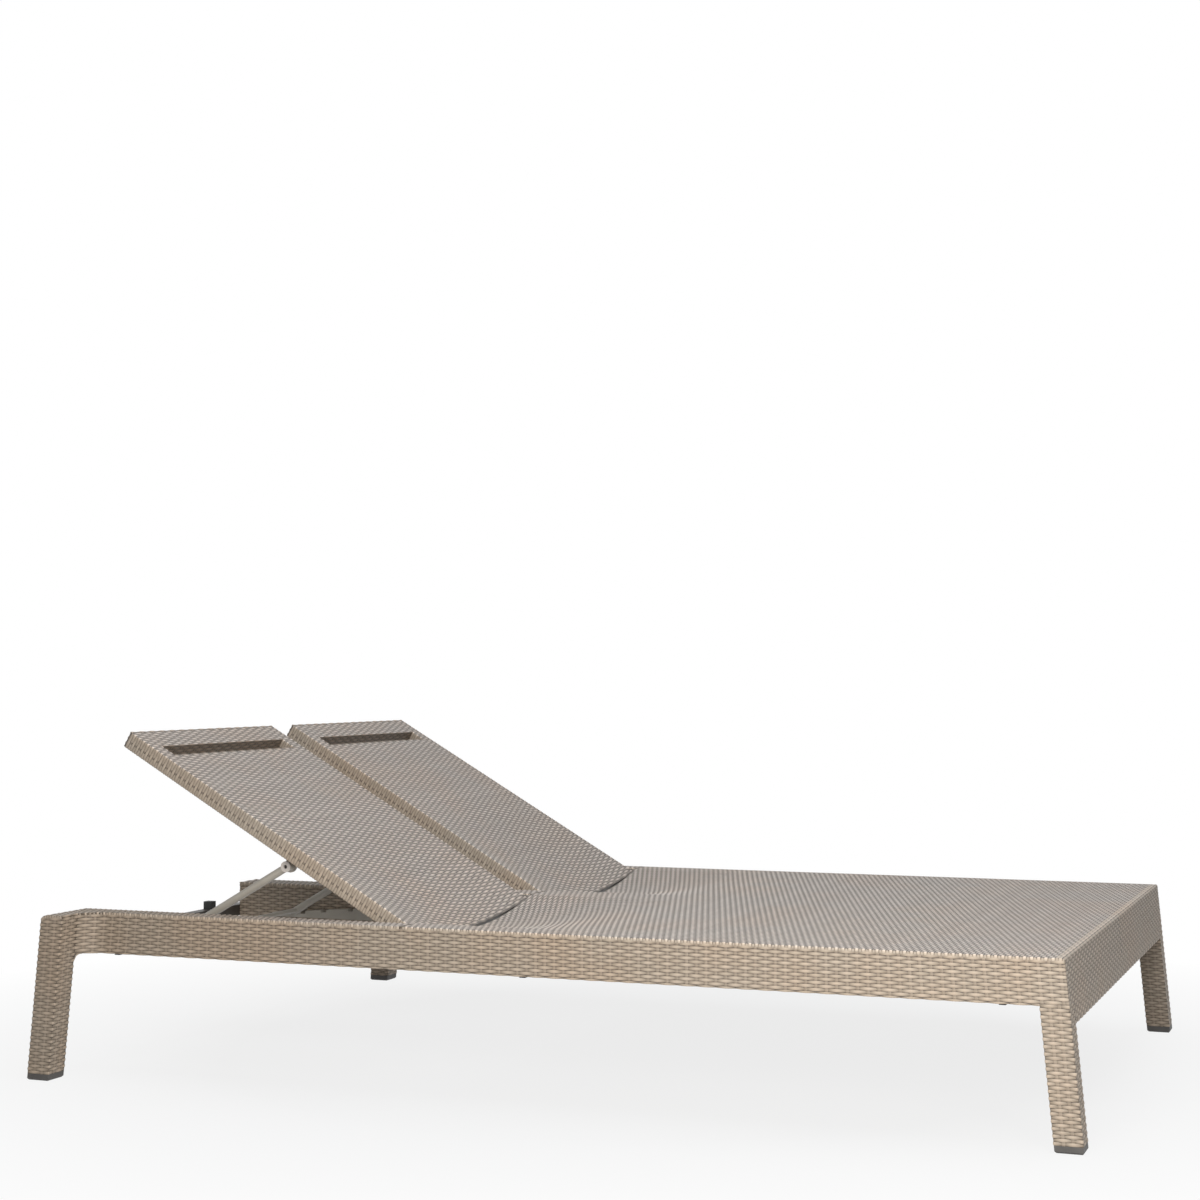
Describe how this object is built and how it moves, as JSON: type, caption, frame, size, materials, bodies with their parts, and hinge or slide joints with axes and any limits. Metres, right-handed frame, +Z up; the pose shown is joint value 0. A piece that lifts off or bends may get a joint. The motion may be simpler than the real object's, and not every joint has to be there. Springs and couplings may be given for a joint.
{
  "type": "double chaise lounger",
  "caption": "Woven double chaise lounger on splayed legs; each person's backrest swings up on its own hinge and a prop bail's rod rides along notched racks as it rises.",
  "frame": {"origin": "on the floor, at the centre of the bounding box of the lounger with its backrests raised by thirty degrees", "axes": "+X along the lounger towards the foot end, +Y across it towards the left-hand person as they lie, +Z up"},
  "size_m": [2.0794, 1.54, 0.6945],
  "materials": {
    "deck_weave": "plain-woven warm grey synthetic strand",
    "rail_weave": "plain-woven warm grey-brown synthetic strand",
    "dark_paint": "satin dark brown powder coat on aluminium",
    "grey_paint": "satin taupe powder coat on aluminium",
    "foot_cap": "matt dark grey plastic",
    "rubber": "matt black rubber",
    "plug": "matt pale plastic",
    "steel": "brushed stainless steel"
  },
  "bodies": {
    "frame": {"right_head_leg_weave": "rail_weave", "right_head_leg_tube": "dark_paint", "right_head_foot_cap": "foot_cap", "right_foot_leg_weave": "rail_weave", "right_foot_leg_tube": "dark_paint", "right_foot_foot_cap": "foot_cap", "right_rail_weave": "rail_weave", "right_rail_tube": "dark_paint", "right_head_outrigger": "dark_paint", "right_stacking_pads": "rubber", "right_seat_edge_bar": "dark_paint", "right_seat_cross_tubes": "dark_paint", "right_hinge_studs": "steel", "right_racks": "grey_paint", "left_head_leg_weave": "rail_weave", "left_head_leg_tube": "dark_paint", "left_head_foot_cap": "foot_cap", "left_foot_leg_weave": "rail_weave", "left_foot_leg_tube": "dark_paint", "left_foot_foot_cap": "foot_cap", "left_rail_weave": "rail_weave", "left_rail_tube": "dark_paint", "left_head_outrigger": "dark_paint", "left_stacking_pads": "rubber", "left_seat_edge_bar": "dark_paint", "left_seat_cross_tubes": "dark_paint", "left_hinge_studs": "steel", "left_racks": "grey_paint", "centre_rail_weave": "rail_weave", "centre_rail_tube": "dark_paint", "foot_beam_weave": "rail_weave", "foot_beam_tube": "dark_paint", "head_cross_tube": "dark_paint", "head_bumpers": "rubber", "seat_weave": "deck_weave"},
    "right_backrest": {"right_backrest_weave": "deck_weave", "right_backrest_side_tubes": "dark_paint", "right_backrest_head_tube": "dark_paint", "right_backrest_slot_tube": "dark_paint", "right_backrest_mid_tube": "grey_paint", "right_backrest_lower_bar": "dark_paint", "right_hinge_blocks": "dark_paint", "right_pivot_screws": "steel"},
    "right_prop": {"right_prop_bail": "grey_paint", "right_prop_end_plugs": "plug"},
    "left_backrest": {"left_backrest_weave": "deck_weave", "left_backrest_side_tubes": "dark_paint", "left_backrest_head_tube": "dark_paint", "left_backrest_slot_tube": "dark_paint", "left_backrest_mid_tube": "grey_paint", "left_backrest_lower_bar": "dark_paint", "left_hinge_blocks": "dark_paint", "left_pivot_screws": "steel"},
    "left_prop": {"left_prop_bail": "grey_paint", "left_prop_end_plugs": "plug"}
  },
  "joints": [
    {"name": "right_backrest_hinge", "type": "hinge", "parent": "frame", "child": "right_backrest", "pos_m": [-0.2744, -0.33425, 0.3135], "axis": [0, 1, 0], "range_deg": [-30, 30]},
    {"name": "right_prop_pivot", "type": "hinge", "parent": "right_backrest", "child": "right_prop", "pos_m": [-0.55321, -0.33425, 0.42678], "axis": [0, 1, 0], "range_deg": [-60, 60]},
    {"name": "left_backrest_hinge", "type": "hinge", "parent": "frame", "child": "left_backrest", "pos_m": [-0.2744, 0.33425, 0.3135], "axis": [0, 1, 0], "range_deg": [-30, 30]},
    {"name": "left_prop_pivot", "type": "hinge", "parent": "left_backrest", "child": "left_prop", "pos_m": [-0.55321, 0.33425, 0.42678], "axis": [0, 1, 0], "range_deg": [-60, 60]}
  ],
  "couplings": [
    {"joint": "right_prop_pivot", "follows": "right_backrest_hinge", "ratio": -2},
    {"joint": "left_prop_pivot", "follows": "left_backrest_hinge", "ratio": -2}
  ]
}
